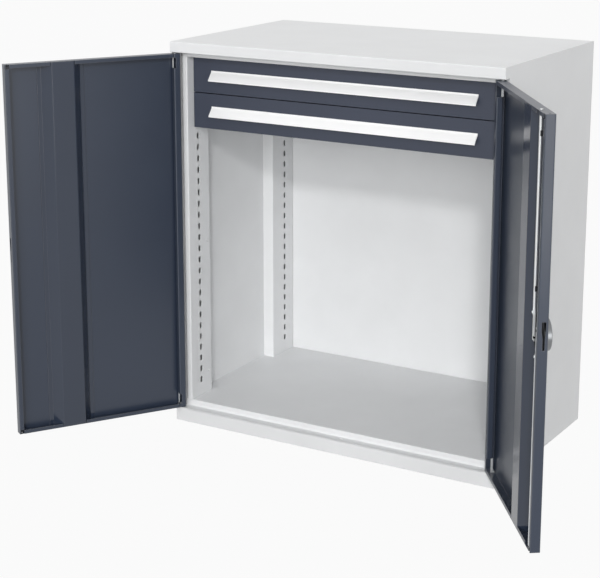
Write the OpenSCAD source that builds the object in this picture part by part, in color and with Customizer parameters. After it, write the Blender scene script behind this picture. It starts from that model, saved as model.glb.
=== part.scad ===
// Steel tool cabinet: two hinged doors, two drawers at the top and an open compartment below.
// Millimetres. X to the right, Y to the back, Z up. The origin is on the floor, at the centre
// of the cabinet's footprint. The doors are drawn open, which is the rest position of their joints.

/* [Cabinet] */
// Width over the side panels
cabinet_w = 1000; // [900:1:1100]
// Depth from the fascia to the back panel
cabinet_d = 600; // [540:1:680]
// Height from the floor to the top
cabinet_h = 1100; // [1000:1:1250]
// Thickness of the casing's sheet steel
sheet_t = 1.5; // [1.2:0.1:2]
// Height of the fascia above the doors
fascia_h = 30; // [26:1:40]
// Height of the plinth below the doors
plinth_h = 40; // [34:1:60]
// How far the floor panel stands above the plinth
sill_h = 19; // [14:1:26]
// Width of the side panel's front flange
side_flange = 16; // [12:1:18]
// Depth of the floor panel's rear flange
floor_flange = 30; // [20:1:36]
// Width of the base frame's angle section
frame_w = 30; // [24:1:40]
// Height of the base frame's angle section
frame_h = 24; // [18:1:30]
// Thickness of the base frame's angle section
frame_t = 2; // [1.5:0.1:3]
// Depth of the header rail
header_d = 24; // [18:1:30]
// Height of the fold along the header rail's foot
header_lip = 10; // [8:1:16]

/* [Doors] */
// Depth of the folded door pan
door_t = 25; // [23:1:30]
// Thickness of the door's sheet steel
skin_t = 1.2; // [1:0.1:1.5]
// Gap above and below a door
door_gap_z = 2.5; // [2:0.5:4]
// Gap between the two doors
door_gap_x = 3.5; // [3:0.5:5]
// How far a door stops short of the cabinet's side
door_inset_x = 1.5; // [1:0.5:3]
// Air between a closed door and the casing behind it
door_gap_y = 3; // [2:0.5:4]
// How far the left door is drawn open
left_open = 122.4; // [60:0.1:150]
// How far the right door is drawn open
right_open = 126.4; // [60:0.1:150]
// Width of the lip along the hinge side
hinge_lip = 19; // [18:0.5:24]
// Depth of the return behind the hinge lip
hinge_return = 16; // [13:0.5:17]
// Width of the inner fold that ends that return
return_fold = 7; // [5:0.5:9]
// Width of the lip along the free side
free_lip = 12; // [9:0.5:14]
// Width of the lips along the top and the bottom
end_lip = 10; // [8:0.5:14]
// Distance from the free edge to the stiffener's crown
stiffener_edge = 128; // [122:1:150]
// Width of the stiffener's crown
stiffener_crown = 62; // [40:1:80]
// Sideways run of the stiffener's sloped webs
stiffener_run = 23; // [12:1:30]
// Width of the stiffener's feet on the door skin
stiffener_foot = 12; // [10:1:16]

/* [Hinges] */
// Distance of the hinge axis from the door's edge
pivot_in = 9; // [8:0.5:10]
// Distance of the hinge axis behind the door's face
pivot_back = 8.5; // [7.5:0.5:10]
// Diameter of the hinge pin
pin_d = 8; // [6:0.5:9]
// Radial running clearance of pins and rods
running = 0.05; // [0.03:0.01:0.09]
// How far a hinge pin enters the casing
pin_reach = 10; // [7:0.5:12]
// Outside diameter of the hinge bush
bush_d = 12; // [11:0.5:13]
// Height of the opening that shows the hinge bracket
hinge_slot_h = 29; // [20:1:34]
// Distance of that opening from the door's end
hinge_slot_z = 11; // [10:1:14]

/* [Lock] */
// Distance of the lock's axis from the free edge
lock_in = 50; // [47:1:52]
// Diameter of the locking rods
rod_d = 8; // [6:0.5:9]
// Distance of the rods behind the door's face
rod_back = 17; // [16.5:0.1:18]
// Crank radius that drives the rods
crank_r = 16; // [15:0.5:17]
// Reach of the locking tongue from the lock's axis
tongue_r = 64; // [61:0.5:66]
// Width of the locking tongue
tongue_w = 16; // [12:1:20]
// Diameter of the handle's bezel
bezel_d = 77; // [70:1:84]
// How far the bezel stands proud of the door
bezel_h = 13; // [6:0.5:15]

/* [Drawers] */
// Height of one drawer with the gap below it
drawer_pitch = 100; // [90:1:120]
// Gap between the drawer fronts
drawer_gap = 2.5; // [2:0.5:4]
// Distance of the drawer fronts behind the fascia
drawer_recess = 59; // [57:1:70]
// Thickness of a drawer front's folded pan
drawer_front_t = 18; // [14:1:22]
// Thickness of the drawer's sheet steel
drawer_t = 1.2; // [1:0.1:1.5]
// Depth of the drawer tray
tray_d = 484; // [400:1:490]
// Height of the drawer tray
tray_h = 74; // [60:1:78]
// Length of the handle strip
handle_l = 806; // [500:1:860]
// How far the handle strip stands out
handle_out = 18.3; // [14:0.1:22]
// Drop of the handle strip's sloping face
handle_drop = 22.7; // [18:0.1:26]
// Thickness of the handle strip
handle_t = 2.2; // [1.8:0.1:3]
// Height of a slide's outer rail
rail_h = 45; // [40:1:48]
// Sideways room that one slide takes up
rail_w = 13; // [12.5:0.1:14]

/* [Uprights] */
// Distance of an upright's inner face from the side
upright_in = 36; // [32:1:42]
// Width of a front upright's inner face
front_upright_w = 103; // [90:1:120]
// Width of a rear upright's inner face
rear_upright_w = 120; // [90:1:140]
// Pitch of the shelf slots
slot_pitch = 32.8; // [30:0.1:40]
// Height of a shelf slot
slot_h = 18; // [12:1:20]
// Width of a shelf slot
slot_w = 10; // [6:0.5:12]
// Height of the lowest rivet on an upright
rivet_first = 123; // [110:1:140]
// Pitch of the rivets
rivet_pitch = 392; // [340:1:400]
// Distance of the rivets behind the slots
rivet_back = 40; // [34:1:40]
// Height of the lowest shelf slot's centre
slot_first = 106.5; // [100:1:140]

/* [Hidden] */

$fn = 48;
grey = [0.84, 0.85, 0.86];
anthracite = [0.24, 0.26, 0.30];
zinc = [0.75, 0.76, 0.78];
alu = [0.92, 0.92, 0.93];
black = [0.10, 0.10, 0.11];

overcut = 1;             // how far a cutting body reaches past what it cuts
bend_r = 2.5;            // outside radius of a fold
bend_steps = 3;          // flats that stand for a fold's arc

// Planes of the casing
front_y = -cabinet_d / 2;
back_y = cabinet_d / 2;
side_x = cabinet_w / 2;
ledge_y = front_y + door_t;              // back edge of the ledges above and below the doors
stop_y = front_y + door_t + door_gap_y;  // front of the casing behind the doors
fascia_z = cabinet_h - fascia_h;
floor_z = plinth_h + sill_h;
upright_x = side_x - upright_in;         // inner face of the uprights

// Doors, drawn closed with the hinge edge at x = 0 and the outer face at y = 0
door_w = (cabinet_w - 2 * door_inset_x - door_gap_x) / 2;
door_z = plinth_h + door_gap_z;
door_h = fascia_z - door_gap_z - door_z;
pivot_x = side_x - door_inset_x - pivot_in;
pivot_y = front_y + pivot_back;
crown_from = door_w - stiffener_edge - stiffener_crown;
crown_to = door_w - stiffener_edge;
bracket_t = 3;
bush_collar_d = 16;
bush_collar_t = 1;

// Lock
lock_x = door_w - lock_in;
lock_z = door_h / 2;
cam_back = 9;            // nearest the door's face
cam_t = 3;
crank_pin_d = 5;
crank_x = crank_r * cos(45);
rod_travel = 2 * crank_x;
fork_t = 2.5;
fork_h = 46;             // from the lock's axis to the round of a rod
fork_slack = 0.6;        // room that takes up the crank's arc
rod_proud = 1.5;         // how far a rod shows at the door's end when unlocked
rod_hole_d = rod_d + 1;
rod_off = crank_r - 0.5; // sideways from the lock's axis to a rod, right over its crank pin
strike_d = rod_d + 3;
slot_top = sqrt(tongue_r * tongue_r - lock_in * lock_in) + 3;
slot_bottom = tongue_w / 2 + 15.5;
dish_d = bezel_d - 18;
dish_back = 6;
bezel_wall = 1.5;
bezel_chamfer = 1.5;
spindle_w = 8;           // across the flats of the spindle's square ends
spindle_r = 6;
guide_h = 12;
guide_w = 16;

// Drawers
drawer_top_z = fascia_z - 16.5;
drawer_half_w = upright_x - 1.2;
drawer_y = front_y + drawer_recess;
drawer_front_h = drawer_pitch - drawer_gap;
tray_half_w = upright_x - rail_w;
tray_y = drawer_y + drawer_front_t;
rail_len = tray_d + 4;
rail_y = tray_y - 2;
rail_t = 1.2;
rail_play = 0.5;
header_z = drawer_top_z + 3;
seam_gap = 1;            // between the floor panel's ledge and the plinth
seam_z = plinth_h - sheet_t - seam_gap;
hang_hole_d = 5;

// Shelf slots fill the uprights from the first slot up
upright_h = header_z + 9 - floor_z;
slot_count = floor((floor_z + upright_h - slot_first - slot_h) / slot_pitch) + 1;
front_slot_y = stop_y + 49;
rear_slot_y = back_y - 54;

// ---- folded sheet ----

function unit(v) = v / norm(v);
function left_of(d) = [-d[1], d[0]];

// A path with each inner corner turned into an arc of radius r
function with_bends(p, r) = [
    for (i = [0 : len(p) - 1])
        if (i == 0 || i == len(p) - 1) p[i]
        else
            let (
                d1 = unit(p[i] - p[i - 1]),
                d2 = unit(p[i + 1] - p[i]),
                side = sign(d1[0] * d2[1] - d1[1] * d2[0]),
                turn = acos(max(-1, min(1, d1 * d2))),
                start = p[i] - r * tan(turn / 2) * d1
            )
            for (k = [0 : bend_steps])
                let (a = turn * k / bend_steps)
                start + r * sin(a) * d1 + side * r * (1 - cos(a)) * left_of(d1)
];

// The outline of a sheet of thickness t that lies to the left of a path
function sheet_outline(p, t) = concat(
    p,
    [
        for (i = [len(p) - 1 : -1 : 0])
            let (
                d1 = unit(i == 0 ? p[1] - p[0] : p[i] - p[i - 1]),
                d2 = unit(i == len(p) - 1 ? p[i] - p[i - 1] : p[i + 1] - p[i]),
                n1 = left_of(d1),
                n2 = left_of(d2)
            )
            p[i] + t * (n1 + n2) / (1 + n1 * n2)
    ]
);

module folded_sheet(path, t, length, r = bend_r) {
    linear_extrude(length) polygon(sheet_outline(with_bends(path, r), t));
}

// A profile drawn in Y and Z, extruded along X and centred on it
module along_x(length) {
    rotate([90, 0, 90]) translate([0, 0, -length / 2]) linear_extrude(length) children();
}

// A profile drawn in X and Z, extruded from y to y + length
module along_y(y, length) {
    translate([0, y + length, 0]) rotate([90, 0, 0]) linear_extrude(length) children();
}

module box(low, high) {
    translate(low) cube(high - low);
}

module on_right() {
    mirror([1, 0, 0]) children();
}

// ---- casing ----

// Front strip, ledge over the doors and upturned edge, in Y and Z
function fascia_path() = [
    [back_y - sheet_t, cabinet_h],
    [front_y, cabinet_h],
    [front_y, fascia_z],
    [ledge_y, fascia_z],
    [ledge_y, fascia_z + 12]
];

module top_cover() {
    color(grey) difference() {
        along_x(cabinet_w) polygon(sheet_outline(with_bends(fascia_path(), bend_r), sheet_t));
        // The folds stop between the side panels
        for (s = [0, 1]) mirror([s, 0, 0]) box([side_x - sheet_t, front_y + bend_r, fascia_z + sheet_t],
            [side_x + overcut, back_y, cabinet_h - sheet_t]);
        for (s = [-1, 1]) translate([s * pivot_x, pivot_y, fascia_z - overcut])
            cylinder(d = bush_d, h = sheet_t + 2 * overcut);
        translate([strike_x(1), strike_y(), fascia_z - overcut])
            cylinder(d = strike_d, h = sheet_t + 2 * overcut);
    }
}

// Where a rod enters the casing. s is 1 for the upper rod and -1 for the lower one.
function strike_x(s) = side_x - door_inset_x - lock_x + s * rod_off;
function strike_y() = front_y + rod_back;

module side_panel() {
    color(grey) {
        // The sheet, notched where the door covers it
        translate([-side_x + sheet_t / 2, 0, 0]) along_x(sheet_t) polygon([
            [front_y + sheet_t, 0],
            [back_y - sheet_t, 0],
            [back_y - sheet_t, cabinet_h - sheet_t],
            [front_y + bend_r, cabinet_h - sheet_t],
            [front_y + sheet_t, cabinet_h - bend_r],
            [front_y + sheet_t, fascia_z + bend_r],
            [front_y + bend_r, fascia_z + sheet_t],
            [stop_y, fascia_z + sheet_t],
            [stop_y, plinth_h - sheet_t],
            [front_y + bend_r, plinth_h - sheet_t],
            [front_y + sheet_t, plinth_h - bend_r]
        ]);
        // Front flange behind the door's hinge edge, folded back again
        translate([0, 0, floor_z]) linear_extrude(fascia_z - floor_z) polygon(sheet_outline([
            [-side_x + side_flange, stop_y + 10],
            [-side_x + side_flange, stop_y],
            [-side_x, stop_y],
            [-side_x, stop_y + 4]
        ], -sheet_t));
        // Rear flange that carries the back panel
        box([-side_x, back_y - 2 * sheet_t, 0],
            [-side_x + side_flange + 2, back_y - sheet_t, cabinet_h - sheet_t]);
    }
}

module back_panel() {
    color(grey) box([-side_x, back_y - sheet_t, 0], [side_x, back_y, cabinet_h]);
}

// An upright slot, centred
module obround(w, h) {
    square([w, h - w], center = true);
    for (s = [-1, 1]) translate([0, s * (h - w) / 2]) circle(d = w);
}

// Floor, folded down at the back, and at the front down to the ledge under the doors
module floor_panel() {
    color(grey) difference() {
        along_x(cabinet_w - 2 * sheet_t) polygon(sheet_outline(with_bends([
            [back_y - 2 * sheet_t, floor_z - floor_flange],
            [back_y - 2 * sheet_t, floor_z],
            [stop_y, floor_z],
            [stop_y, plinth_h],
            [front_y, plinth_h]
        ], bend_r), sheet_t));
        // The ledge ends between the plinth's corners
        for (s = [0, 1]) mirror([s, 0, 0]) box([upright_x, front_y - overcut, 0],
            [side_x, stop_y, plinth_h + bend_r + overcut]);
        translate([strike_x(-1), strike_y(), plinth_h - sheet_t - overcut])
            cylinder(d = strike_d, h = sheet_t + 2 * overcut);
        translate([upright_x - hang_hole_d, front_y + door_t / 2, plinth_h - sheet_t - overcut])
            cylinder(d = hang_hole_d, h = sheet_t + 2 * overcut);
    }
}

// Front of the plinth. Its corners carry the lower hinge bushes.
module plinth_front() {
    corner_w = side_x - upright_x - 0.5;
    color(grey) difference() {
        union() {
            along_x(cabinet_w - 2 * corner_w) polygon(sheet_outline(with_bends([
                [front_y + frame_w - 10, seam_z],
                [front_y, seam_z],
                [front_y, 0]
            ], bend_r), sheet_t));
            for (s = [-1, 1]) translate([s * (side_x - corner_w / 2), 0, 0]) along_x(corner_w)
                polygon(sheet_outline(with_bends([
                    [stop_y, plinth_h],
                    [front_y, plinth_h],
                    [front_y, 0]
                ], bend_r), sheet_t));
        }
        for (s = [-1, 1]) translate([s * pivot_x, pivot_y, plinth_h - sheet_t - overcut])
            cylinder(d = bush_d, h = sheet_t + 2 * overcut);
    }
}

// Ring of angle section that stiffens the bottom edge
module base_frame() {
    low = [-side_x + sheet_t, front_y + sheet_t, 0];
    high = [side_x - sheet_t, back_y - 2 * sheet_t, 0];
    flange = [frame_w, frame_w, 0];
    wall = [frame_t, frame_t, 0];
    color(grey) {
        difference() {
            box(low, high + [0, 0, frame_t]);
            box(low + flange - [0, 0, overcut], high - flange + [0, 0, frame_t + overcut]);
        }
        difference() {
            box(low, high + [0, 0, frame_h]);
            box(low + wall - [0, 0, overcut], high - wall + [0, 0, frame_h + overcut]);
        }
    }
}

// Rail above the drawers that the doors' top edges stop against
module header_rail() {
    color(grey) along_x(2 * upright_x) polygon(sheet_outline(with_bends([
        [stop_y + header_d, cabinet_h - sheet_t],
        [stop_y, cabinet_h - sheet_t],
        [stop_y, header_z],
        [stop_y + header_d, header_z],
        [stop_y + header_d, header_z + header_lip]
    ], bend_r), sheet_t));
}

// ---- uprights ----

module shelf_slots(y) {
    for (i = [0 : slot_count - 1]) translate([-upright_x - sheet_t - overcut, y, slot_first + i * slot_pitch])
        rotate([90, 0, 90]) linear_extrude(sheet_t + 2 * overcut) obround(slot_w, slot_h);
}

module front_upright() {
    color(grey) difference() {
        translate([0, 0, floor_z]) folded_sheet([
            [-side_x + sheet_t, stop_y + front_upright_w],
            [-upright_x, stop_y + front_upright_w],
            [-upright_x, stop_y],
            [-side_x + side_flange + 4, stop_y],
            [-side_x + side_flange + 4, stop_y + 12]
        ], -sheet_t, upright_h);
        shelf_slots(front_slot_y);
    }
}

module rear_upright() {
    rear_y = back_y - 2 * sheet_t;
    color(grey) difference() {
        translate([0, 0, floor_z]) folded_sheet([
            [-side_x + 24, rear_y],
            [-upright_x, rear_y],
            [-upright_x, rear_y - rear_upright_w],
            [-side_x + sheet_t, rear_y - rear_upright_w]
        ], -sheet_t, upright_h);
        shelf_slots(rear_slot_y);
    }
}

// Rivet heads on the front uprights, beside the slots
module upright_rivets() {
    color(grey) for (s = [-1, 1], i = [0, 1])
        translate([s * upright_x, front_slot_y + rivet_back, rivet_first + i * rivet_pitch])
            rotate([0, -90 * s, 0])
                rotate_extrude() polygon([[0, 0], [4, 0], [3, 1.2], [1.2, 1.8], [0, 1.8]]);
}

// ---- hinges ----

// Collared bushes in the ledges, four in all
module hinge_bushes() {
    color(black) for (s = [-1, 1], up = [0, 1])
        translate([s * pivot_x, pivot_y, up ? fascia_z : plinth_h]) mirror([0, 0, 1 - up])
            rotate_extrude() polygon([
                [pin_d / 2 + running, -bush_collar_t], [bush_collar_d / 2, -bush_collar_t],
                [bush_collar_d / 2, 0], [bush_d / 2, 0], [bush_d / 2, pin_reach],
                [pin_d / 2 + running, pin_reach]
            ]);
}

// Places a door that is drawn closed, hinge edge at x = 0, face at y = 0, foot at z = 0
module hung_left() {
    translate([-pivot_x, pivot_y, door_z]) rotate([0, 0, -left_open])
        translate([-pivot_in, -pivot_back, 0]) children();
}

module hung_right() {
    on_right() translate([-pivot_x, pivot_y, door_z]) rotate([0, 0, -right_open])
        translate([-pivot_in, -pivot_back, 0]) children();
}

// Repeats its children at the foot and, turned over, at the head of a door
module both_ends() {
    children();
    translate([0, 0, door_h]) mirror([0, 0, 1]) children();
}

// Angle on the end of the door that carries the pin, with a leg against the folded return
module hinge_brackets() {
    seat = hinge_lip - skin_t;
    color(zinc) both_ends() difference() {
        union() {
            box([bend_r, bend_r, skin_t], [seat, door_t - 5, skin_t + bracket_t]);
            box([seat - bracket_t, bend_r, skin_t], [seat, door_t / 2 + 0.5, hinge_slot_z + hinge_slot_h]);
        }
        translate([pivot_in, pivot_back, 0]) cylinder(d = pin_d, h = skin_t + bracket_t + overcut);
    }
}

module hinge_pins() {
    inside = skin_t + bracket_t + 4;
    color(zinc) both_ends() translate([pivot_in, pivot_back, -door_gap_z - pin_reach])
        cylinder(d = pin_d, h = door_gap_z + pin_reach + inside);
}

// ---- doors ----

module door_pan(rods) {
    lap = skin_t / 2;
    color(anthracite) difference() {
        union() {
            // Skin with the hinge channel and the free flange, folded from one sheet
            folded_sheet([
                [hinge_lip - return_fold, door_t - hinge_return],
                [hinge_lip, door_t - hinge_return],
                [hinge_lip, door_t],
                [0, door_t],
                [0, 0],
                [door_w, 0],
                [door_w, door_t],
                [door_w - free_lip, door_t]
            ], skin_t, door_h);
            both_ends() {
                box([lap, lap, 0], [door_w - lap, door_t, skin_t]);
                box([hinge_lip + 2, door_t - skin_t, 0], [door_w - free_lip, door_t, end_lip]);
            }
        }
        both_ends() {
            // Open corners between the lips
            box([door_w - free_lip - 0.5, door_t - skin_t - 0.5, -overcut],
                [door_w - skin_t - 1, door_t + overcut, free_lip]);
            box([hinge_lip - 0.1, door_t - skin_t - 0.5, -overcut],
                [hinge_lip + 2.1, door_t + overcut, end_lip]);
            // Room for the stiffener's crown
            box([crown_from - 3, door_t - skin_t - 0.5, skin_t],
                [crown_to + 3, door_t + overcut, end_lip + overcut]);
            // Room for the hinge bracket's leg, and the openings that show it
            box([hinge_lip - return_fold - overcut, door_t - hinge_return - overcut, skin_t],
                [hinge_lip + overcut, door_t / 2 + 1.5, hinge_slot_z + hinge_slot_h]);
            box([hinge_lip - skin_t - 0.5, door_t - hinge_return - overcut, hinge_slot_z],
                [hinge_lip + overcut, door_t, hinge_slot_z + hinge_slot_h]);
            box([hinge_lip - 6, door_t - skin_t - 0.5, hinge_slot_z],
                [hinge_lip + overcut, door_t + overcut, hinge_slot_z + hinge_slot_h]);
            translate([pivot_in, pivot_back, -overcut]) cylinder(d = pin_d, h = skin_t + 2 * overcut);
            translate([door_w - pivot_in, door_t / 2, -overcut])
                cylinder(d = hang_hole_d, h = skin_t + 2 * overcut);
        }
        // Rod holes in the ends, with the lips cut away before them
        if (rods) for (s = [-1, 1]) translate([lock_x - s * rod_off, 0, s > 0 ? door_h : 0])
            mirror([0, 0, s > 0 ? 1 : 0]) {
                translate([0, rod_back, -overcut]) cylinder(d = rod_hole_d, h = skin_t + 2 * overcut);
                box([-14, door_t - skin_t - 0.5, skin_t], [14, door_t + overcut, end_lip + overcut]);
            }
        tongue_slot();
        if (rods) translate([lock_x, -overcut, lock_z]) rotate([-90, 0, 0])
            cylinder(d = dish_d + 2 * bezel_wall, h = skin_t + 2 * overcut);
    }
}

// Keyhole-shaped slot in the free flange, wide at the top
module tongue_slot() {
    mid = cam_back + cam_t / 2;
    translate([door_w - skin_t - overcut, 0, lock_z]) rotate([90, 0, 90])
        linear_extrude(skin_t + 2 * overcut) polygon([
            [mid - 2.5, -slot_bottom], [mid + 2.5, -slot_bottom], [mid + 2.5, slot_top * 0.12],
            [mid + 4.8, slot_top * 0.4], [mid + 4.8, slot_top], [mid - 4.8, slot_top],
            [mid - 4.8, slot_top * 0.4], [mid - 2.5, slot_top * 0.12]
        ]);
}

// Hat section along the door's full height
module door_stiffener() {
    color(anthracite) translate([0, 0, skin_t]) folded_sheet([
        [crown_from - stiffener_run - stiffener_foot, skin_t],
        [crown_from - stiffener_run, skin_t],
        [crown_from, door_t - skin_t],
        [crown_to, door_t - skin_t],
        [crown_to + stiffener_run, skin_t],
        [crown_to + stiffener_run + stiffener_foot, skin_t]
    ], skin_t, door_h - 2 * skin_t);
}

// ---- lock, drawn on the closed right door and seen along its thickness ----

module at_lock() {
    translate([lock_x, 0, lock_z]) rotate([-90, 0, 0]) children();
}

// Backing plate on the inside of the skin, with the bearing for the spindle
module lock_plate() {
    plate_w = lock_in * 2 - 16;
    color(zinc) difference() {
        union() {
            box([lock_x - plate_w / 2, dish_back + bezel_wall, lock_z - 42],
                [lock_x + plate_w / 2, dish_back + bezel_wall + 1, lock_z + 42]);
            for (s = [-1, 1]) box([lock_x - plate_w / 2, skin_t, lock_z + s * 41 - 1],
                [lock_x + plate_w / 2, dish_back + bezel_wall + 1, lock_z + s * 41 + 1]);
        }
        at_lock() cylinder(r = spindle_r + running, h = cam_back);
    }
}

module lock_bezel() {
    wall_r = dish_d / 2 + bezel_wall;
    color(zinc) at_lock() rotate_extrude() polygon(concat(
        [[spindle_r + running, dish_back + bezel_wall], [wall_r, dish_back + bezel_wall], [wall_r, 0]],
        [[bezel_d / 2, 0], [bezel_d / 2, bezel_chamfer - bezel_h]],
        [[bezel_d / 2 - bezel_chamfer, -bezel_h], [dish_d / 2 + bezel_chamfer, -bezel_h]],
        [[dish_d / 2, bezel_chamfer - bezel_h], [dish_d / 2, dish_back], [spindle_r + running, dish_back]]
    ));
}

// Round grip disc with a finger bar across it
module turn_handle() {
    bar_w = 15;
    bar_l = dish_d - 6;
    gap = 0.4;
    color(black) at_lock() difference() {
        union() {
            translate([0, 0, dish_back - gap - 2]) cylinder(d = dish_d - 2, h = 2);
            translate([0, 0, -bezel_h + 0.5]) linear_extrude(dish_back - gap + bezel_h - 1)
                square([bar_w, bar_l - bar_w], center = true);
            for (s = [-1, 1]) translate([0, s * (bar_l - bar_w) / 2, -bezel_h + 0.5])
                cylinder(d = bar_w, h = dish_back - gap + bezel_h - 1);
        }
        translate([0, 0, -bezel_h - overcut]) cylinder(d = 11, h = bezel_h + overcut + 1);
        translate([-spindle_w / 2, -spindle_w / 2, 1]) cube([spindle_w, spindle_w, 10]);
    }
}

// Plain key cylinder in the middle of the handle
module lock_cylinder() {
    color(zinc) at_lock() difference() {
        translate([0, 0, -bezel_h]) cylinder(d = 11, h = bezel_h + 1);
        translate([-0.8, -3.5, -bezel_h - overcut]) cube([1.6, 7, 4 + overcut]);
    }
}

module lock_spindle() {
    color(zinc) at_lock() {
        translate([-spindle_w / 2, -spindle_w / 2, 1]) cube([spindle_w, spindle_w, dish_back - 1]);
        translate([0, 0, dish_back]) cylinder(r = spindle_r, h = cam_back - dish_back);
        translate([-spindle_w / 2, -spindle_w / 2, cam_back]) cube([spindle_w, spindle_w, cam_t + 2]);
    }
}

// Disc with the locking tongue and two crank pins, tongue up when unlocked
module lock_cam() {
    pin_len = rod_back + fork_t / 2 + 1.2 - cam_back - cam_t;
    color(zinc) at_lock() {
        translate([0, 0, cam_back]) difference() {
            union() {
                cylinder(r = crank_r + 5, h = cam_t);
                linear_extrude(cam_t) mirror([0, 1]) polygon([
                    [-tongue_w / 2 - 4, 0], [tongue_w / 2 + 4, 0], [tongue_w / 2, 20],
                    [tongue_w / 2, tongue_r * 0.62], [tongue_w / 2 + 6, tongue_r * 0.72],
                    [tongue_w / 2 + 5, tongue_r * 0.9], [tongue_w / 4, tongue_r * 0.985],
                    [-tongue_w / 4, tongue_r * 0.97], [-tongue_w / 2, tongue_r * 0.9],
                    [-tongue_w / 2, 20]
                ]);
            }
            translate([-spindle_w / 2, -spindle_w / 2, -overcut])
                cube([spindle_w, spindle_w, cam_t + 2 * overcut]);
        }
        for (s = [-1, 1]) translate([s * crank_x, -s * crank_x, cam_back + cam_t])
            cylinder(d = crank_pin_d, h = pin_len);
    }
}

// A rod with a flat forked end that a crank pin drives. s is 1 for the upper rod.
module locking_rod(s) {
    plate = [rod_back - fork_t / 2, rod_back + fork_t / 2];
    fork_w = 16;
    color(zinc) translate([lock_x, 0, lock_z]) mirror([0, 0, s > 0 ? 0 : 1]) mirror([s > 0 ? 0 : 1, 0, 0])
        translate([-rod_off, 0, 0]) {
            difference() {
                box([-fork_w / 2, plate[0], -crank_x - 8], [fork_w / 2, plate[1], fork_h + 12]);
                // Fork open towards the lock's axis
                box([rod_off - crank_r - crank_pin_d / 2 - fork_slack, plate[0] - overcut,
                        -crank_x - crank_pin_d / 2 - fork_slack],
                    [fork_w / 2 + overcut, plate[1] + overcut, -crank_x + crank_pin_d / 2 + fork_slack]);
                translate([0, 0, fork_h + 2]) rotate([-90, 0, 0]) cylinder(d = 4, h = door_t);
            }
            difference() {
                translate([0, rod_back, fork_h - 4])
                    cylinder(d = rod_d, h = door_h / 2 + rod_proud - fork_h + 4);
                box([-rod_d, plate[0], fork_h - 4 - overcut], [rod_d, plate[1], fork_h + 12]);
                translate([0, 0, fork_h + 2]) rotate([-90, 0, 0]) cylinder(d = 4, h = door_t);
            }
        }
}

// Screw that holds a flat fork in the slotted end of its rod. s is 1 for the upper rod.
module rod_screw(s) {
    head_t = 1.8;
    color(zinc) translate([lock_x - s * rod_off, 0, lock_z + s * (fork_h + 2)]) rotate([-90, 0, 0]) {
        translate([0, 0, rod_back - rod_d / 2]) cylinder(d = 4, h = rod_d);
        translate([0, 0, rod_back + rod_d / 2]) cylinder(d1 = 7, d2 = 5.5, h = head_t);
    }
}

// Clips on the door's skin, open to the inside, that a rod slides in
module rod_guides() {
    top = rod_back + rod_d / 4;
    color(zinc) for (s = [-1, 1], far = [fork_h + 58, door_h / 2 - 52.5])
        translate([lock_x - s * rod_off, 0, lock_z + s * far]) difference() {
            box([-guide_w / 2, skin_t, -guide_h / 2], [guide_w / 2, top, guide_h / 2]);
            translate([0, rod_back, -guide_h / 2 - overcut])
                cylinder(r = rod_d / 2 + running, h = guide_h + 2 * overcut);
        }
}

// ---- drawers, each drawn with its bottom edge at z = 0 ----

module at_drawer(i) {
    translate([0, 0, drawer_top_z - drawer_front_h - i * drawer_pitch]) children();
}

module drawer_front() {
    color(anthracite) {
        box([-drawer_half_w, drawer_y, 0], [drawer_half_w, drawer_y + drawer_t, drawer_front_h]);
        for (s = [-1, 1]) box(
            [s > 0 ? drawer_half_w - drawer_t : -drawer_half_w, drawer_y, 0],
            [s > 0 ? drawer_half_w : -drawer_half_w + drawer_t, drawer_y + drawer_front_t, drawer_front_h]);
        for (z = [0, drawer_front_h - drawer_t])
            box([-drawer_half_w, drawer_y, z], [drawer_half_w, drawer_y + drawer_front_t, z + drawer_t]);
        box([-tray_half_w, drawer_y + drawer_front_t - drawer_t, 0],
            [tray_half_w, drawer_y + drawer_front_t, 14]);
    }
}

module drawer_tray() {
    z0 = 8;
    low = [-tray_half_w, tray_y, z0];
    high = [tray_half_w, tray_y + tray_d, z0 + tray_h];
    wall = [drawer_t, drawer_t, drawer_t];
    hem = 7;
    color(grey) {
        difference() {
            box(low, high);
            box(low + wall, high - [drawer_t, drawer_t, -overcut]);
        }
        // Hems folded in along the side walls
        for (s = [-1, 1]) box(
            [s > 0 ? tray_half_w - hem : -tray_half_w, tray_y, z0 + tray_h - drawer_t],
            [s > 0 ? tray_half_w : -tray_half_w + hem, tray_y + tray_d, z0 + tray_h]);
    }
}

// Extruded strip: a foot on the drawer front and a face that slopes out and down
module drawer_handle() {
    z0 = drawer_front_h - 39.5;
    foot_h = 5;
    nose = 3;
    color(alu) translate([0, drawer_y, z0]) along_x(handle_l) polygon([
        [0, foot_h], [-handle_t, foot_h], [-handle_t, 0.8],
        [-handle_out, -handle_drop + nose],
        [-handle_out, -handle_drop], [-handle_out + nose, -handle_drop],
        [-handle_out + nose, -handle_drop + nose * 0.6],
        [-handle_t, -handle_t * 1.3], [0, -handle_t * 1.3]
    ]);
}

// ---- slides: three nested channels on each side of a drawer ----

// A channel on the left side, open to the right, in X and Z. Half of it is at z = 0.
function channel(x, w, h) = sheet_outline([
    [x + w, h / 2], [x, h / 2], [x, -h / 2], [x + w, -h / 2]
], rail_t);

rail_z = 45;             // height of a slide's middle above the drawer's bottom edge
middle_rail_x = -upright_x + rail_t + rail_play;
middle_rail_h = rail_h - 2 * rail_t - 2 * rail_play;
drawer_rail_h = middle_rail_h - 2 * rail_t - 2 * rail_play;

module slide_pair(points, y, length) {
    color(zinc) for (s = [0, 1]) mirror([s, 0, 0])
        translate([0, 0, rail_z]) along_y(y, length) polygon(points);
}

module cabinet_rails() {
    for (i = [0, 1]) at_drawer(i) slide_pair(channel(-upright_x, 10, rail_h), rail_y + 6, rail_len);
}

module middle_rails() {
    slide_pair(channel(middle_rail_x, 8.5, middle_rail_h), rail_y + 4, rail_len);
}

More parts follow.
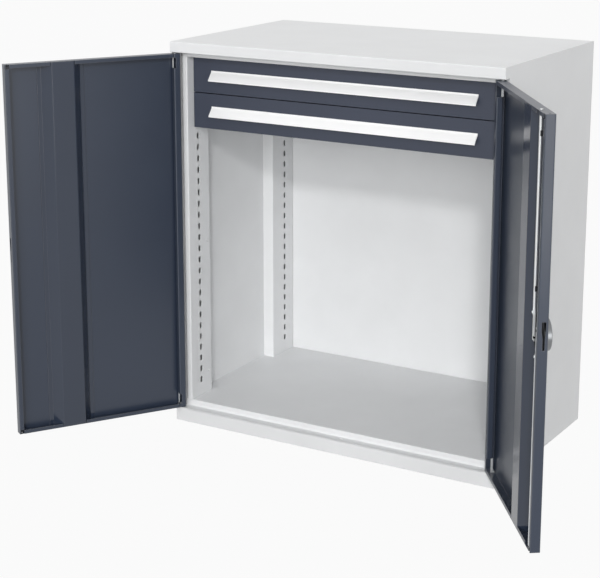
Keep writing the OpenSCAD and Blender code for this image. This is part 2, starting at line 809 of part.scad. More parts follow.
// The inner channel opens outwards, with its web against the tray
module drawer_rails() {
    h = drawer_rail_h;
    slide_pair(sheet_outline([
        [-tray_half_w - 8, -h / 2], [-tray_half_w, -h / 2], [-tray_half_w, h / 2], [-tray_half_w - 8, h / 2]
    ], rail_t), rail_y + 2, rail_len);
}

top_cover();
side_panel();  // side_panel_left
on_right() side_panel();  // side_panel_right
back_panel();
floor_panel();
plinth_front();
base_frame();
header_rail();
front_upright();  // front_upright_left
on_right() front_upright();  // front_upright_right
rear_upright();  // rear_upright_left
on_right() rear_upright();  // rear_upright_right
upright_rivets();
hinge_bushes();
cabinet_rails();
hung_left() door_pan(false);  // left_door_pan
hung_left() door_stiffener();  // left_door_stiffener
hung_left() hinge_brackets();  // left_hinge_brackets
hung_left() hinge_pins();  // left_hinge_pins
hung_right() door_pan(true);  // right_door_pan
hung_right() door_stiffener();  // right_door_stiffener
hung_right() hinge_brackets();  // right_hinge_brackets
hung_right() hinge_pins();  // right_hinge_pins
hung_right() lock_plate();
hung_right() lock_bezel();
hung_right() rod_guides();
hung_right() turn_handle();
hung_right() lock_cylinder();
hung_right() lock_spindle();
hung_right() lock_cam();
hung_right() locking_rod(1);  // upper_rod
hung_right() locking_rod(-1);  // lower_rod
hung_right() rod_screw(1);  // upper_rod_screw
hung_right() rod_screw(-1);  // lower_rod_screw
at_drawer(0) drawer_front();  // upper_drawer_front
at_drawer(0) drawer_tray();  // upper_drawer_tray
at_drawer(0) drawer_handle();  // upper_drawer_handle
at_drawer(0) drawer_rails();  // upper_drawer_rails
at_drawer(0) middle_rails();  // upper_middle_rails
at_drawer(1) drawer_front();  // lower_drawer_front
at_drawer(1) drawer_tray();  // lower_drawer_tray
at_drawer(1) drawer_handle();  // lower_drawer_handle
at_drawer(1) drawer_rails();  // lower_drawer_rails
at_drawer(1) middle_rails();  // lower_middle_rails
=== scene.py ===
"""Finishes, small fittings, floor, light and camera of the tool cabinet with doors."""

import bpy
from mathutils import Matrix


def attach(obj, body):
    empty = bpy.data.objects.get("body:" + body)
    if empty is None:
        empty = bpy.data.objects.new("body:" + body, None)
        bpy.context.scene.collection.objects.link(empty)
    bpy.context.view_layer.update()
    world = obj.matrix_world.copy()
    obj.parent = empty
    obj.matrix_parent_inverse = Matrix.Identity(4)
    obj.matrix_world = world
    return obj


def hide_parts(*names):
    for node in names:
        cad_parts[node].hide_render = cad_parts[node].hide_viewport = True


bl_info = {
    "name": "Tool cabinet with doors",
    "version": (1, 0, 0),
    "blender": (4, 5, 0),
    "location": "3D View > Sidebar > Cabinet",
    "description": "Paints and fits out a steel tool cabinet and sets it on a studio floor",
    "category": "Object",
}

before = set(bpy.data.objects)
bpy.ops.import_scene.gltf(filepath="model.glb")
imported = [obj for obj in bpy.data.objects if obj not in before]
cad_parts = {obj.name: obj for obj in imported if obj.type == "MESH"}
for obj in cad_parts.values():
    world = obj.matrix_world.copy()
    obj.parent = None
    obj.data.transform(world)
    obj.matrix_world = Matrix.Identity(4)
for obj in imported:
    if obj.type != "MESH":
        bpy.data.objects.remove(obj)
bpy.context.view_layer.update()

import math

import bmesh
import bpy
from bpy.props import FloatProperty, FloatVectorProperty, PointerProperty, StringProperty
from bpy.types import Operator, Panel, PropertyGroup
from mathutils import Matrix, Vector

MM = 0.001

# Where the doors hang, in metres. A door's own drawing has its hinge edge at x = 0, its outer
# face at y = 0 and its foot at z = 0.
DOOR_PIVOT = Vector((0.4895, -0.2915, 0.0425))
PIVOT_ON_DOOR = Vector((0.009, 0.0085, 0.0))
LEFT_OPEN = math.radians(122.4)
RIGHT_OPEN = math.radians(126.4)
DOOR_HEIGHT = 1.025

# Shading of edges: samples of the rounding, how fast the mask rises, and the pale linear tone that the
# edges of a powder coat are painted towards, with how far they go, as a painted highlight for the glint
# on folds
BEVEL_SAMPLES = 6
EDGE_SHARPNESS = 14.0
EDGE_HIGHLIGHT_TONE = 0.8
EDGE_HIGHLIGHT_SHARE = 0.35

# Directions in which the two suns lie, and how wide they look
KEY_TOWARD, KEY_WIDTH = Vector((0.414, -0.812, 0.412)), math.radians(5)
FILL_TOWARD, FILL_WIDTH = Vector((0.3, -0.95, 0.06)), math.radians(36)

# The strip box, in metres: where it stands, what it faces, its width and its height
STRIP_PLACE = Vector((2.47, -2.05, 0.69))
STRIP_AIM = Vector((0.78, -0.69, 0.9))
STRIP_SIZE = (0.3, 1.2)

# Shares of the ambient light that come from the horizon and from overhead
AMBIENT_LOW, AMBIENT_HIGH = 1.1, 0.85
# Share of pure white in the floor, as the camera sees it
FLOOR_GLOW = 0.95


# ---- settings ----

class PaintSettings(PropertyGroup):
    """Colours of the powder coats."""

    casing: StringProperty(
        name="Casing", description="Powder coat of the casing, as an sRGB hex value", default="#DDDEDF")
    doors: StringProperty(
        name="Doors", description="Powder coat of the doors, as an sRGB hex value", default="#2C3443")
    drawers: StringProperty(
        name="Drawer fronts", description="Powder coat of the drawer fronts, as an sRGB hex value",
        default="#313746")
    peel_grain: FloatProperty(
        name="Orange peel", description="Distance between the bumps of the powder coat",
        default=3.0 * MM, min=0.5 * MM, max=10 * MM, subtype="DISTANCE", unit="LENGTH")


class MetalSettings(PropertyGroup):
    """Colours of the bare metals and the moulded plastic."""

    zinc: StringProperty(
        name="Zinc plate", description="Bright zinc plating, as an sRGB hex value", default="#E0E2E4")
    # Nearly white: partly the strips' own pale tone, partly a painted highlight for their glare
    aluminium: StringProperty(
        name="Handle strips", description="Anodised aluminium, as an sRGB hex value", default="#FAFAFA")
    # The chrome is kept dark: a painted shade for the dark surroundings it would mirror
    chrome: StringProperty(
        name="Chrome", description="Satin chrome plating, as an sRGB hex value", default="#808284")
    # Near black: the lock parts' own finish, and partly painted shade for the inside of the door
    blackened: StringProperty(
        name="Black steel", description="Black passivated steel, as an sRGB hex value",
        default="#141517")
    plastic: StringProperty(
        name="Plastic", description="Moulded plastic, as an sRGB hex value", default="#202124")


class StageSettings(PropertyGroup):
    """Floor, light and camera."""

    floor_size: FloatProperty(
        name="Floor size", description="Side of the square floor",
        default=60.0, min=10.0, max=200.0, subtype="DISTANCE", unit="LENGTH")
    key_strength: FloatProperty(
        name="Key light", description="Strength of the light from beside the camera",
        default=0.85, min=0.0, max=10.0)
    fill_strength: FloatProperty(
        name="Fill light", description="Strength of the broad light from the front",
        default=1.7, min=0.0, max=10.0)
    strip_power: FloatProperty(
        name="Strip light", description="Power of the upright strip box at the right",
        default=7.0, min=0.0, max=200.0, unit="POWER")
    ambient: FloatProperty(
        name="Ambient light", description="Strength of the light from all round",
        default=0.78, min=0.0, max=2.0)
    camera_place: FloatVectorProperty(
        name="Camera", description="Place of the camera", default=(2.0652, -3.9200, 1.6640),
        subtype="TRANSLATION", unit="LENGTH")
    camera_turn: FloatProperty(
        name="Camera turn", description="Turn of the camera about the vertical",
        default=0.5358, subtype="ANGLE", unit="ROTATION")
    camera_tilt: FloatProperty(
        name="Camera tilt", description="How far the camera looks down",
        default=0.2353, subtype="ANGLE", unit="ROTATION")
    focal_length: FloatProperty(
        name="Focal length", description="Focal length for a 36 mm wide sensor, in millimetres",
        default=96.8, min=20.0, max=300.0)
    camera_shift: FloatProperty(
        name="Camera shift", description="Vertical shift of the lens, as a share of the frame",
        default=-0.12, min=-1.0, max=1.0)


# ---- nodes and colours ----

def colour(hex_value):
    """An sRGB hex value as linear red, green, blue and alpha."""
    shares = [int(hex_value[i:i + 2], 16) / 255 for i in (1, 3, 5)]
    return [c / 12.92 if c <= 0.04045 else ((c + 0.055) / 1.055) ** 2.4 for c in shares] + [1.0]


def shade(base, share):
    """A linear colour made lighter or darker."""
    return [min(1.0, c * share) for c in base[:3]] + [1.0]


def add(tree, kind, inputs=None, **settings):
    """Adds a node. Its inputs are numbers, colours or the sockets that feed them."""
    made = tree.nodes.new(kind)
    for name, value in settings.items():
        setattr(made, name, value)
    for name, value in (inputs or {}).items():
        if isinstance(value, bpy.types.NodeSocket):
            tree.links.new(value, made.inputs[name])
        else:
            made.inputs[name].default_value = value
    return made


def start_material(name):
    """A material with an empty node tree, and its tree."""
    material = bpy.data.materials.new(name)
    material.use_nodes = True
    material.node_tree.nodes.clear()
    return material, material.node_tree


def close_material(tree, shader):
    """Leads a shader to the output."""
    add(tree, "ShaderNodeOutputMaterial", {"Surface": shader.outputs["BSDF"]})


def rounded_edges(tree, radius):
    """A normal that turns smoothly across an edge."""
    return add(tree, "ShaderNodeBevel", {"Radius": radius}, samples=BEVEL_SAMPLES)


def edge_mask(tree, rounded):
    """0 on flat faces, rising to 1 where the normal is rounded."""
    flat = add(tree, "ShaderNodeNewGeometry")
    likeness = add(tree, "ShaderNodeVectorMath",
                   {0: rounded.outputs["Normal"], 1: flat.outputs["Normal"]}, operation="DOT_PRODUCT")
    turn = add(tree, "ShaderNodeMath", {0: 1.0, 1: likeness.outputs["Value"]}, operation="SUBTRACT")
    return add(tree, "ShaderNodeMath", {0: turn.outputs[0], 1: EDGE_SHARPNESS},
               operation="MULTIPLY", use_clamp=True)


def seen_directly(tree):
    """1 for what the camera sees itself, in a reflection or through glass, and 0 for lighting."""
    rays = add(tree, "ShaderNodeLightPath")
    seen = add(tree, "ShaderNodeMath", {
        0: rays.outputs["Is Camera Ray"], 1: rays.outputs["Is Glossy Ray"]}, operation="MAXIMUM")
    return add(tree, "ShaderNodeMath", {
        0: seen.outputs[0], 1: rays.outputs["Is Transmission Ray"]}, operation="MAXIMUM")


# ---- finishes ----

def powder_coat(name, hex_value, roughness, peel, edge_highlight=0.25, fold=1.2 * MM):
    """Polyester powder coat, sprayed dry on steel sheet and baked.

    It flows into a skin with a fine orange peel, which blurs what it mirrors, and is very slightly
    uneven in tone from one hand's breadth to the next. Its edges and folds are painted lighter: a
    painted highlight that stands for the glint on the bends.
    """
    material, tree = start_material(name)
    place = add(tree, "ShaderNodeTexCoord")
    # A real peel has a bump each millimetre or so; it is drawn coarser to show at all
    bumps = add(tree, "ShaderNodeTexNoise", {
        "Vector": place.outputs["Object"], "Scale": 1.0 / peel, "Detail": 2.0, "Roughness": 0.45})
    drift = add(tree, "ShaderNodeTexNoise", {
        "Vector": place.outputs["Object"], "Scale": 1.0 / (140 * MM), "Detail": 3.0, "Roughness": 0.5})
    rounded = rounded_edges(tree, fold)
    edge = edge_mask(tree, rounded)
    base = colour(hex_value)
    # Painted highlight: on edges and folds the colour is mixed towards a pale tone, for the glint on
    # the bends
    pale_edge = [c + (EDGE_HIGHLIGHT_TONE - c) * edge_highlight * EDGE_HIGHLIGHT_SHARE for c in base[:3]] + [1.0]
    tone = add(tree, "ShaderNodeMix", {
        "Factor": drift.outputs["Fac"], "A": shade(base, 0.955), "B": shade(base, 1.06)},
        data_type="RGBA")
    # How far the painted highlight goes on each edge
    edges = add(tree, "ShaderNodeMath", {0: edge.outputs[0], 1: edge_highlight}, operation="MULTIPLY")
    paint = add(tree, "ShaderNodeMix", {
        "Factor": edges.outputs[0], "A": tone.outputs["Result"], "B": pale_edge}, data_type="RGBA")
    gloss = add(tree, "ShaderNodeMapRange", {
        "Value": drift.outputs["Fac"], "To Min": roughness - 0.035, "To Max": roughness + 0.035})
    peel_bump = add(tree, "ShaderNodeBump", {
        "Strength": 0.12, "Distance": 0.05 * MM, "Height": bumps.outputs["Fac"],
        "Normal": rounded.outputs["Normal"]})
    shader = add(tree, "ShaderNodeBsdfPrincipled", {
        "Base Color": paint.outputs["Result"], "Roughness": gloss.outputs["Result"], "IOR": 1.52,
        "Normal": peel_bump.outputs["Normal"]})
    close_material(tree, shader)
    return material


def zinc_plate(name, hex_value):
    """Bright zinc, plated on rolled steel and passivated.

    The clear passivation scatters part of the light, so it is pale, with a soft gloss, a faint blue
    and straw bloom, and fine lines from the rolling.
    """
    material, tree = start_material(name)
    place = add(tree, "ShaderNodeTexCoord")
    stretched = add(tree, "ShaderNodeMapping", {
        "Vector": place.outputs["Object"], "Scale": (1.0, 1.0, 0.04)})
    lines = add(tree, "ShaderNodeTexNoise", {
        "Vector": stretched.outputs["Vector"], "Scale": 1.0 / (1.5 * MM), "Detail": 3.0})
    bloom = add(tree, "ShaderNodeTexNoise", {
        "Vector": place.outputs["Object"], "Scale": 1.0 / (35 * MM), "Detail": 2.0})
    base = colour(hex_value)
    blue = [base[0] * 0.93, base[1] * 0.97, base[2] * 1.03, 1.0]
    straw = [base[0] * 1.04, base[1] * 1.01, base[2] * 0.93, 1.0]
    tint = add(tree, "ShaderNodeMix", {
        "Factor": bloom.outputs["Fac"], "A": blue, "B": straw}, data_type="RGBA")
    rounded = rounded_edges(tree, 0.5 * MM)
    gloss = add(tree, "ShaderNodeMapRange", {
        "Value": lines.outputs["Fac"], "To Min": 0.24, "To Max": 0.42})
    bump = add(tree, "ShaderNodeBump", {
        "Strength": 0.15, "Distance": 0.03 * MM, "Height": lines.outputs["Fac"],
        "Normal": rounded.outputs["Normal"]})
    shader = add(tree, "ShaderNodeBsdfPrincipled", {
        "Base Color": tint.outputs["Result"], "Metallic": 0.7, "Roughness": gloss.outputs["Result"],
        "Normal": bump.outputs["Normal"]})
    close_material(tree, shader)
    return material


def anodised_aluminium(name, hex_value):
    """Extruded aluminium, etched matt and anodised clear.

    The etched skin scatters most of the light, with a silky sheen and faint die lines along its length.
    Its colour is raised to nearly white: partly its own pale tone, partly a painted highlight for the
    glare on the strips, which face up towards the light.
    """
    material, tree = start_material(name)
    place = add(tree, "ShaderNodeTexCoord")
    stretched = add(tree, "ShaderNodeMapping", {
        "Vector": place.outputs["Object"], "Scale": (0.01, 1.0, 1.0)})
    lines = add(tree, "ShaderNodeTexNoise", {
        "Vector": stretched.outputs["Vector"], "Scale": 1.0 / (1.2 * MM), "Detail": 2.0})
    rounded = rounded_edges(tree, 0.5 * MM)
    base = colour(hex_value)
    tint = add(tree, "ShaderNodeMix", {
        "Factor": lines.outputs["Fac"], "A": shade(base, 0.97), "B": base}, data_type="RGBA")
    gloss = add(tree, "ShaderNodeMapRange", {
        "Value": lines.outputs["Fac"], "To Min": 0.36, "To Max": 0.48})
    bump = add(tree, "ShaderNodeBump", {
        "Strength": 0.1, "Distance": 0.02 * MM, "Height": lines.outputs["Fac"],
        "Normal": rounded.outputs["Normal"]})
    shader = add(tree, "ShaderNodeBsdfPrincipled", {
        "Base Color": tint.outputs["Result"], "Metallic": 0.3, "Roughness": gloss.outputs["Result"],
        "Normal": bump.outputs["Normal"]})
    close_material(tree, shader)
    return material


def chrome_plate(name, hex_value):
    """Die-cast zinc, brushed and chrome plated.

    It blurs what it mirrors into soft bands, and shows the odd fine swirl from the brushing. Its colour
    is kept dark, a painted shade that stands for the dark surroundings it would mirror.
    """
    material, tree = start_material(name)
    place = add(tree, "ShaderNodeTexCoord")
    swirl = add(tree, "ShaderNodeTexNoise", {
        "Vector": place.outputs["Object"], "Scale": 1.0 / (6 * MM), "Detail": 4.0, "Distortion": 0.6})
    rounded = rounded_edges(tree, 0.4 * MM)
    base = colour(hex_value)
    tint = add(tree, "ShaderNodeMix", {
        "Factor": swirl.outputs["Fac"], "A": shade(base, 0.96), "B": base}, data_type="RGBA")
    gloss = add(tree, "ShaderNodeMapRange", {
        "Value": swirl.outputs["Fac"], "To Min": 0.26, "To Max": 0.36})
    shader = add(tree, "ShaderNodeBsdfPrincipled", {
        "Base Color": tint.outputs["Result"], "Metallic": 1.0, "Roughness": gloss.outputs["Result"],
        "Normal": rounded.outputs["Normal"]})
    close_material(tree, shader)
    return material


def blackened_steel(name, hex_value):
    """Zinc plated steel, passivated black.

    It is a very fine dark film on metal: nearly black, faintly cloudy and dull. On the lock parts
    inside the door it also stands in as painted shade, so the slot in the free flange shows dark.
    """
    material, tree = start_material(name)
    place = add(tree, "ShaderNodeTexCoord")
    cloud = add(tree, "ShaderNodeTexNoise", {
        "Vector": place.outputs["Object"], "Scale": 1.0 / (9 * MM), "Detail": 3.0})
    rounded = rounded_edges(tree, 0.5 * MM)
    edge = edge_mask(tree, rounded)
    base = colour(hex_value)
    tone = add(tree, "ShaderNodeMix", {
        "Factor": cloud.outputs["Fac"], "A": shade(base, 0.8), "B": shade(base, 1.25)},
        data_type="RGBA")
    pale_edge = add(tree, "ShaderNodeMath", {0: edge.outputs[0], 1: 0.5}, operation="MULTIPLY")
    film = add(tree, "ShaderNodeMix", {
        "Factor": pale_edge.outputs[0], "A": tone.outputs["Result"], "B": shade(base, 2.6)},
        data_type="RGBA")
    gloss = add(tree, "ShaderNodeMapRange", {
        "Value": cloud.outputs["Fac"], "To Min": 0.5, "To Max": 0.62})
    shader = add(tree, "ShaderNodeBsdfPrincipled", {
        "Base Color": film.outputs["Result"], "Roughness": gloss.outputs["Result"],
        "Specular IOR Level": 0.2, "Normal": rounded.outputs["Normal"]})
    close_material(tree, shader)
    return material


def moulded_plastic(name, hex_value, grain):
    """Glass-filled polyamide, injection moulded in an eroded tool.

    It is near black with a dull, finely pitted skin that turns a little shinier on its edges.
    """
    material, tree = start_material(name)
    place = add(tree, "ShaderNodeTexCoord")
    pits = add(tree, "ShaderNodeTexNoise", {
        "Vector": place.outputs["Object"], "Scale": 1.0 / grain, "Detail": 2.0})
    rounded = rounded_edges(tree, 0.5 * MM)
    edge = edge_mask(tree, rounded)
    base = colour(hex_value)
    tone = add(tree, "ShaderNodeMix", {
        "Factor": pits.outputs["Fac"], "A": shade(base, 0.85), "B": shade(base, 1.2)}, data_type="RGBA")
    gloss = add(tree, "ShaderNodeMapRange", {
        "Value": edge.outputs[0], "To Min": 0.52, "To Max": 0.38})
    bump = add(tree, "ShaderNodeBump", {
        "Strength": 0.25, "Distance": 0.04 * MM, "Height": pits.outputs["Fac"],
        "Normal": rounded.outputs["Normal"]})
    shader = add(tree, "ShaderNodeBsdfPrincipled", {
        "Base Color": tone.outputs["Result"], "Roughness": gloss.outputs["Result"], "IOR": 1.53,
        "Normal": bump.outputs["Normal"]})
    close_material(tree, shader)
    return material


def coat_nodes(material, nodes):
    """Gives CAD nodes a material."""
    for name in nodes:
        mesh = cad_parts[name].data
        mesh.materials.clear()
        mesh.materials.append(material)


def finish_of(context, which):
    """Makes a finish once and keeps it under its name."""
    paint, metal = context.scene.cabinet_paint, context.scene.cabinet_metal
    makers = {
        # The edge amounts set the painted highlight on edges and folds, strongest on the doors
        "Casing powder coat": lambda n: powder_coat(
            n, paint.casing, roughness=0.42, peel=paint.peel_grain, edge_highlight=0.1),
        # Roughness stays clear of 0.27, where noise filters change over and would outline its drift
        "Door powder coat": lambda n: powder_coat(
            n, paint.doors, roughness=0.315, peel=paint.peel_grain, edge_highlight=0.5, fold=2.0 * MM),
        "Stiffener powder coat": lambda n: powder_coat(
            n, paint.doors, roughness=0.14, peel=paint.peel_grain, edge_highlight=0.5, fold=2.0 * MM),
        "Drawer powder coat": lambda n: powder_coat(
            n, paint.drawers, roughness=0.4, peel=paint.peel_grain),
        "Bright zinc plate": lambda n: zinc_plate(n, metal.zinc),
        "Satin anodised aluminium": lambda n: anodised_aluminium(n, metal.aluminium),
        "Black passivated steel": lambda n: blackened_steel(n, metal.blackened),
        "Chrome plated die casting": lambda n: chrome_plate(n, metal.chrome),
        "Moulded polyamide": lambda n: moulded_plastic(n, metal.plastic, grain=0.8 * MM),
    }
    return bpy.data.materials.get(which) or makers[which](which)


# ---- mesh helpers ----

def hung(left):
    """The matrix that places a door's own drawing at rest."""
    turn = LEFT_OPEN if left else RIGHT_OPEN
    swung = (Matrix.Translation(Vector((-DOOR_PIVOT.x, DOOR_PIVOT.y, DOOR_PIVOT.z)))
             @ Matrix.Rotation(-turn, 4, "Z") @ Matrix.Translation(-PIVOT_ON_DOOR))
    return swung if left else Matrix.Scale(-1, 4, (1, 0, 0)) @ swung


def prism(mesh, outline, low, high, matrix):
    """Raises an outline of (x, y) points from z = low to z = high."""
    foot = [mesh.verts.new(matrix @ Vector((x, y, low))) for x, y in outline]
    head = [mesh.verts.new(matrix @ Vector((x, y, high))) for x, y in outline]
    mesh.faces.new(foot[::-1])
    mesh.faces.new(head)
    for k in range(len(outline)):
        j = (k + 1) % len(outline)
        mesh.faces.new((foot[k], foot[j], head[j], head[k]))


def finish_piece(name, mesh, material, body, smooth=30.0):
    """Turns a bmesh into a piece of the cabinet that rides on a body."""
    bmesh.ops.recalc_face_normals(mesh, faces=mesh.faces)
    data = bpy.data.meshes.new(name)
    mesh.to_mesh(data)
    mesh.free()
    data.materials.append(material)
    data.shade_smooth()
    data.set_sharp_from_angle(angle=math.radians(smooth))
    piece = bpy.data.objects.new(name, data)
    bpy.context.collection.objects.link(piece)
    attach(piece, body)
    return piece


# ---- operators ----

class CABINET_OT_casing(Operator):
    """Powder coats the casing, its uprights and the drawer trays"""

    bl_idname = "cabinet.casing"
    bl_label = "Casing"

    def execute(self, context):
        coat_nodes(finish_of(context, "Casing powder coat"), [
            "top_cover", "side_panel_left", "side_panel_right", "back_panel", "floor_panel",
            "plinth_front", "base_frame", "header_rail", "front_upright_left", "front_upright_right",
            "rear_upright_left", "rear_upright_right", "upright_rivets",
            "upper_drawer_tray", "lower_drawer_tray"])
        return {"FINISHED"}


class CABINET_OT_doors(Operator):
    """Powder coats the doors and their stiffeners"""

    bl_idname = "cabinet.doors"
    bl_label = "Doors"

    def execute(self, context):
        coat_nodes(finish_of(context, "Door powder coat"), ["left_door_pan", "right_door_pan"])
        coat_nodes(finish_of(context, "Stiffener powder coat"),
                   ["left_door_stiffener", "right_door_stiffener"])
        return {"FINISHED"}


class CABINET_OT_drawers(Operator):
    """Finishes the drawer fronts, handle strips and slides"""

    bl_idname = "cabinet.drawers"
    bl_label = "Drawers"

    def execute(self, context):
        coat_nodes(finish_of(context, "Drawer powder coat"),
                   ["upper_drawer_front", "lower_drawer_front"])
        coat_nodes(finish_of(context, "Satin anodised aluminium"),
                   ["upper_drawer_handle", "lower_drawer_handle"])
        coat_nodes(finish_of(context, "Bright zinc plate"), [
            "cabinet_rails", "upper_middle_rails", "lower_middle_rails",
            "upper_drawer_rails", "lower_drawer_rails"])
        return {"FINISHED"}


class CABINET_OT_hinges(Operator):
    """Finishes the hinge pins, brackets and bushes"""

    bl_idname = "cabinet.hinges"
    bl_label = "Hinges"

    def execute(self, context):
        zinc = finish_of(context, "Bright zinc plate")
        coat_nodes(zinc, ["left_hinge_pins", "right_hinge_pins"])
        coat_nodes(finish_of(context, "Moulded polyamide"), ["hinge_bushes"])
        for side in ("left", "right"):
            brackets = bmesh.new()
            for end in (0, 1):
                # The bracket at the head is the one at the foot, mirrored
                flip = Matrix.Scale(-1 if end else 1, 4, (0, 0, 1))
                self.bracket(brackets, hung(side == "left")
                             @ Matrix.Translation((0, 0, end * DOOR_HEIGHT)) @ flip)
            piece = finish_piece(side + "_hinge_plates", brackets, zinc, side + "_door")
            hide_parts(side + "_hinge_brackets")
        return {"FINISHED"}

    def bracket(self, mesh, at_end):
        """A plate that holds the pin, bent up into a narrow leg against the folded return."""
        corner = 2.5
        left, front, right, back = 2.5, 2.5, 17.8, 20.0
        plate = [(left + corner, front), (right, front), (right, back), (left + corner, back),
                 (left, back - corner), (left, front + corner)]
        self.raise_mm(mesh, plate, 1.2, 4.2, at_end)
        # The leg is drawn in x and height, from the outside of the bend, over its top, to the
        # inside radius of the bend, and raised across its width
        inner, bend, top = 14.8, 3.0, 39.9
        leg = [(right, 1.6), (right, top - 1.3), (right - 0.9, top), (inner + 0.9, top),
               (inner, top - 1.3)]
        leg += [(inner - bend + bend * math.cos(turn), 7.2 - bend * math.sin(turn))
                for turn in (0, 0.5, 1.0, math.pi / 2)]
        leg += [(inner - bend, 1.6)]
        on_edge = Matrix(((1, 0, 0, 0), (0, 0, 1, 0), (0, 1, 0, 0), (0, 0, 0, 1)))
        self.raise_mm(mesh, leg, 7.5, 13.0, at_end @ on_edge)

    def raise_mm(self, mesh, outline, low, high, matrix):
        """A prism from an outline in millimetres."""
        prism(mesh, [(x * MM, y * MM) for x, y in outline], low * MM, high * MM, matrix)


class CABINET_OT_lock(Operator):
    """Finishes the turn handle, its cylinder and the locking rods"""

    bl_idname = "cabinet.lock"
    bl_label = "Lock"

    def execute(self, context):
        zinc = finish_of(context, "Bright zinc plate")
        coat_nodes(zinc, ["upper_rod", "upper_rod_screw", "lower_rod", "lower_rod_screw"])
        # The plate, spindle and cam are kept near black: partly their own black finish, partly painted
        # shade, so the slot in the free flange shows dark
        coat_nodes(finish_of(context, "Black passivated steel"), [
            "lock_plate", "lock_spindle", "lock_cam"])
        coat_nodes(finish_of(context, "Chrome plated die casting"), ["lock_bezel", "lock_cylinder"])
        coat_nodes(finish_of(context, "Moulded polyamide"), ["turn_handle", "rod_guides"])
        return {"FINISHED"}


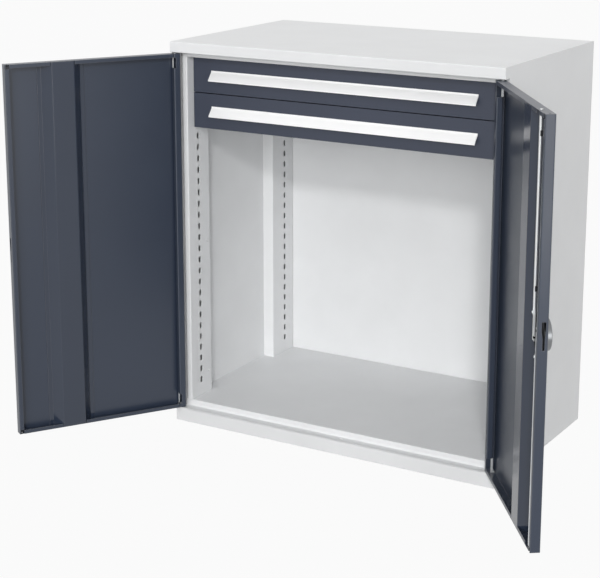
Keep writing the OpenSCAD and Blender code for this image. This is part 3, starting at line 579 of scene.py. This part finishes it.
class CABINET_OT_stage(Operator):
    """Lays the floor, sets the lamps and aims the camera"""

    bl_idname = "cabinet.stage"
    bl_label = "Stage"

    def execute(self, context):
        stage = context.scene.cabinet_stage
        self.floor(stage)
        self.world(context.scene, stage)
        self.lamp("Key", KEY_TOWARD, stage.key_strength, KEY_WIDTH)
        self.lamp("Fill", FILL_TOWARD, stage.fill_strength, FILL_WIDTH)
        self.strip_box(stage.strip_power)
        self.camera(context.scene, stage)
        context.scene.view_settings.view_transform = "Standard"
        return {"FINISHED"}

    def floor(self, stage):
        """Matt white studio vinyl, rolled out. It shows as near white and keeps the shadow soft."""
        half = stage.floor_size / 2
        mesh = bmesh.new()
        mesh.faces.new([mesh.verts.new((x, y, 0)) for x, y in (
            (-half, -half), (half, -half), (half, half), (-half, half))])
        data = bpy.data.meshes.new("studio_floor")
        mesh.to_mesh(data)
        mesh.free()
        material, tree = start_material("Matt studio vinyl")
        seen = seen_directly(tree)
        place = add(tree, "ShaderNodeTexCoord")
        grain = add(tree, "ShaderNodeTexNoise", {
            "Vector": place.outputs["Object"], "Scale": 12.0, "Detail": 3.0})
        tone = add(tree, "ShaderNodeMix", {
            "Factor": grain.outputs["Fac"], "A": colour("#767676"), "B": colour("#7C7C7C")},
            data_type="RGBA")
        vinyl = add(tree, "ShaderNodeBsdfPrincipled", {
            "Base Color": tone.outputs["Result"], "Roughness": 0.9, "Specular IOR Level": 0.0})
        glow = add(tree, "ShaderNodeEmission", {"Color": colour("#FFFFFF"), "Strength": 1.0})
        share = add(tree, "ShaderNodeMath", {0: seen.outputs[0], 1: FLOOR_GLOW}, operation="MULTIPLY")
        mixed = add(tree, "ShaderNodeMixShader", {
            0: share.outputs[0], 1: vinyl.outputs["BSDF"], 2: glow.outputs["Emission"]})
        add(tree, "ShaderNodeOutputMaterial", {"Surface": mixed.outputs["Shader"]})
        data.materials.append(material)
        floor = bpy.data.objects.new("studio_floor", data)
        bpy.context.collection.objects.link(floor)

    def world(self, scene, stage):
        """Even studio light, a little weaker from overhead."""
        world = bpy.data.worlds.new("Studio")
        world.use_nodes = True
        tree = world.node_tree
        tree.nodes.clear()
        seen = seen_directly(tree)
        place = add(tree, "ShaderNodeTexCoord")
        height = add(tree, "ShaderNodeSeparateXYZ", {"Vector": place.outputs["Generated"]})
        soft = add(tree, "ShaderNodeMapRange", {
            "Value": height.outputs["Z"], "To Min": stage.ambient * AMBIENT_LOW,
            "To Max": stage.ambient * AMBIENT_HIGH})
        strength = add(tree, "ShaderNodeMapRange", {
            "Value": seen.outputs[0], "To Min": soft.outputs["Result"], "To Max": 1.0})
        sky = add(tree, "ShaderNodeBackground", {
            "Color": colour("#FFFFFF"), "Strength": strength.outputs["Result"]})
        add(tree, "ShaderNodeOutputWorld", {"Surface": sky.outputs["Background"]})
        scene.world = world

    def lamp(self, name, toward, strength, width):
        """A sun that lies in a direction."""
        data = bpy.data.lights.new(name, "SUN")
        data.energy = strength
        data.angle = width
        lamp = bpy.data.objects.new(name, data)
        lamp.rotation_euler = toward.to_track_quat("Z", "Y").to_euler()
        bpy.context.collection.objects.link(lamp)

    def strip_box(self, power):
        """An upright strip box on the floor, mirrored in the free edge of the right door."""
        data = bpy.data.lights.new("Strip", "AREA")
        data.energy = power
        data.shape = "RECTANGLE"
        data.size, data.size_y = STRIP_SIZE
        lamp = bpy.data.objects.new("Strip", data)
        lamp.location = STRIP_PLACE
        lamp.rotation_euler = (STRIP_PLACE - STRIP_AIM).to_track_quat("Z", "Y").to_euler()
        lamp.visible_camera = False
        bpy.context.collection.objects.link(lamp)

    def camera(self, scene, stage):
        """The camera at the height and angle of the photograph."""
        data = bpy.data.cameras.new("Camera")
        data.sensor_fit = "HORIZONTAL"
        data.sensor_width = 36.0
        data.lens = stage.focal_length
        data.shift_y = stage.camera_shift
        data.clip_end = 200.0
        camera = bpy.data.objects.new("Camera", data)
        camera.location = stage.camera_place
        camera.rotation_euler = (math.pi / 2 - stage.camera_tilt, 0, stage.camera_turn)
        bpy.context.collection.objects.link(camera)
        scene.camera = camera


class CABINET_PT_panel(Panel):
    """Lists the cabinet's settings and steps"""

    bl_label = "Tool cabinet"
    bl_idname = "CABINET_PT_panel"
    bl_space_type = "VIEW_3D"
    bl_region_type = "UI"
    bl_category = "Cabinet"

    def draw(self, context):
        scene = context.scene
        for group in (scene.cabinet_paint, scene.cabinet_metal, scene.cabinet_stage):
            box = self.layout.box()
            for name in group.__annotations__:
                box.prop(group, name)
        for step in STEPS:
            self.layout.operator(step.bl_idname)


SETTINGS = (PaintSettings, MetalSettings, StageSettings)
STEPS = (CABINET_OT_casing, CABINET_OT_doors, CABINET_OT_drawers, CABINET_OT_hinges, CABINET_OT_lock,
         CABINET_OT_stage)


def register():
    for item in SETTINGS + STEPS + (CABINET_PT_panel,):
        bpy.utils.register_class(item)
    bpy.types.Scene.cabinet_paint = PointerProperty(type=PaintSettings)
    bpy.types.Scene.cabinet_metal = PointerProperty(type=MetalSettings)
    bpy.types.Scene.cabinet_stage = PointerProperty(type=StageSettings)


def unregister():
    del bpy.types.Scene.cabinet_stage
    del bpy.types.Scene.cabinet_metal
    del bpy.types.Scene.cabinet_paint
    for item in reversed(SETTINGS + STEPS + (CABINET_PT_panel,)):
        bpy.utils.unregister_class(item)


def main():
    register()
    bpy.ops.cabinet.casing()
    bpy.ops.cabinet.doors()
    bpy.ops.cabinet.drawers()
    bpy.ops.cabinet.hinges()
    bpy.ops.cabinet.lock()
    bpy.ops.cabinet.stage()


if __name__ == "__main__":
    main()
